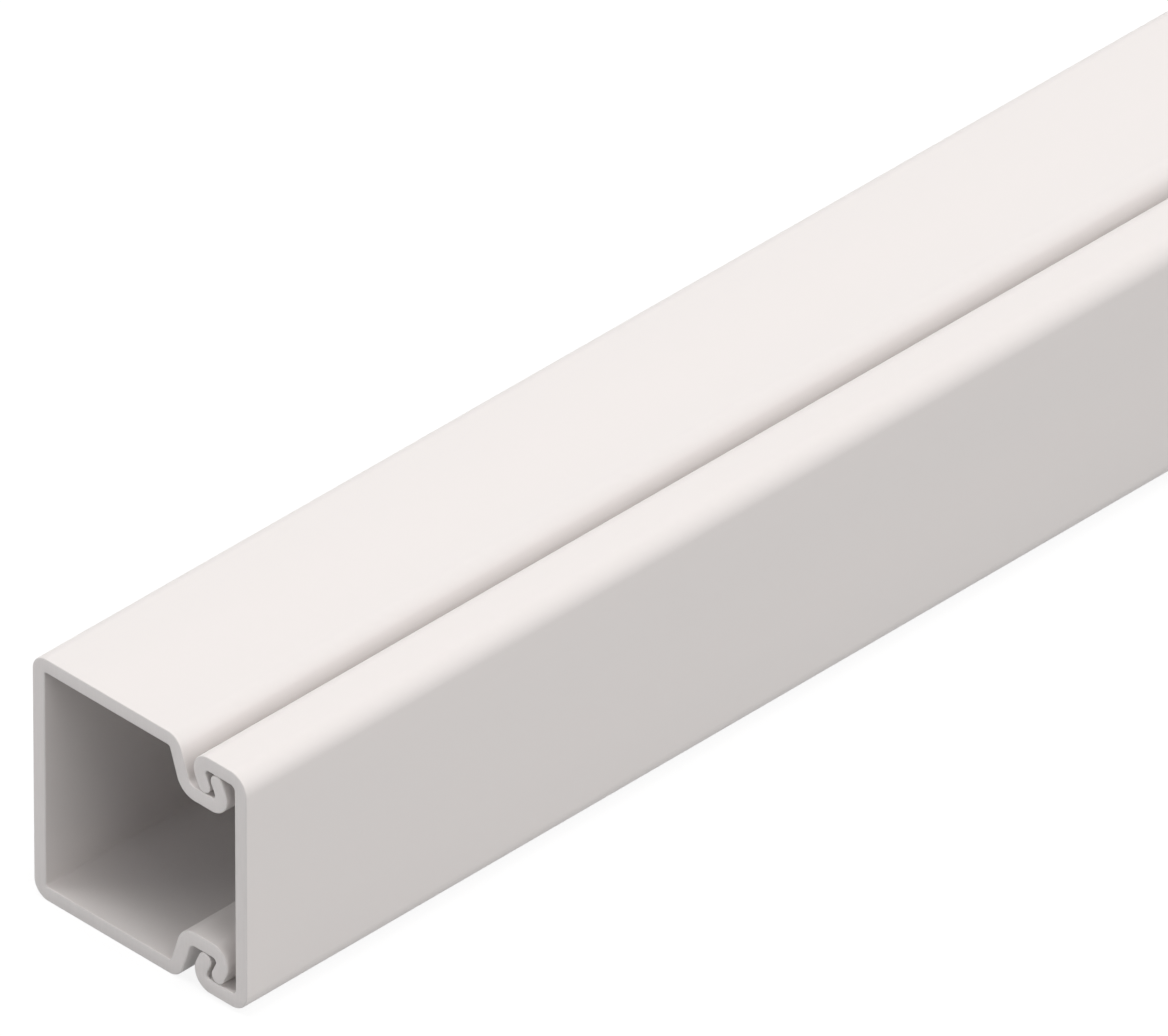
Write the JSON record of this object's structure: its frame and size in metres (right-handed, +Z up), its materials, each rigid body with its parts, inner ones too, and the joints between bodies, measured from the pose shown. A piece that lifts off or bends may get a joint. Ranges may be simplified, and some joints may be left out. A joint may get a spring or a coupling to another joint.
{
  "type": "cord cover raceway",
  "caption": "Square plastic trunking that hides cords along a wall: a channel with hooked lips, closed by a cover whose curled flanges hold the hooks.",
  "frame": {"origin": "centre of the footprint, on the floor that the trunking lies on", "axes": "+X along the trunking, +Y out of its back, which goes against the wall, -Y out of its cover, +Z up; it lies on one side of its base"},
  "size_m": [1, 0.0206, 0.02],
  "materials": {
    "white_pvc": "satin"
  },
  "bodies": {
    "base": {"base_channel": "white_pvc"},
    "cover": {"cover": "white_pvc"}
  },
  "joints": [
    {"name": "cover_slide", "type": "slide", "parent": "base", "child": "cover", "axis": [1, 0, 0], "range_m": [0, 1.02]}
  ]
}
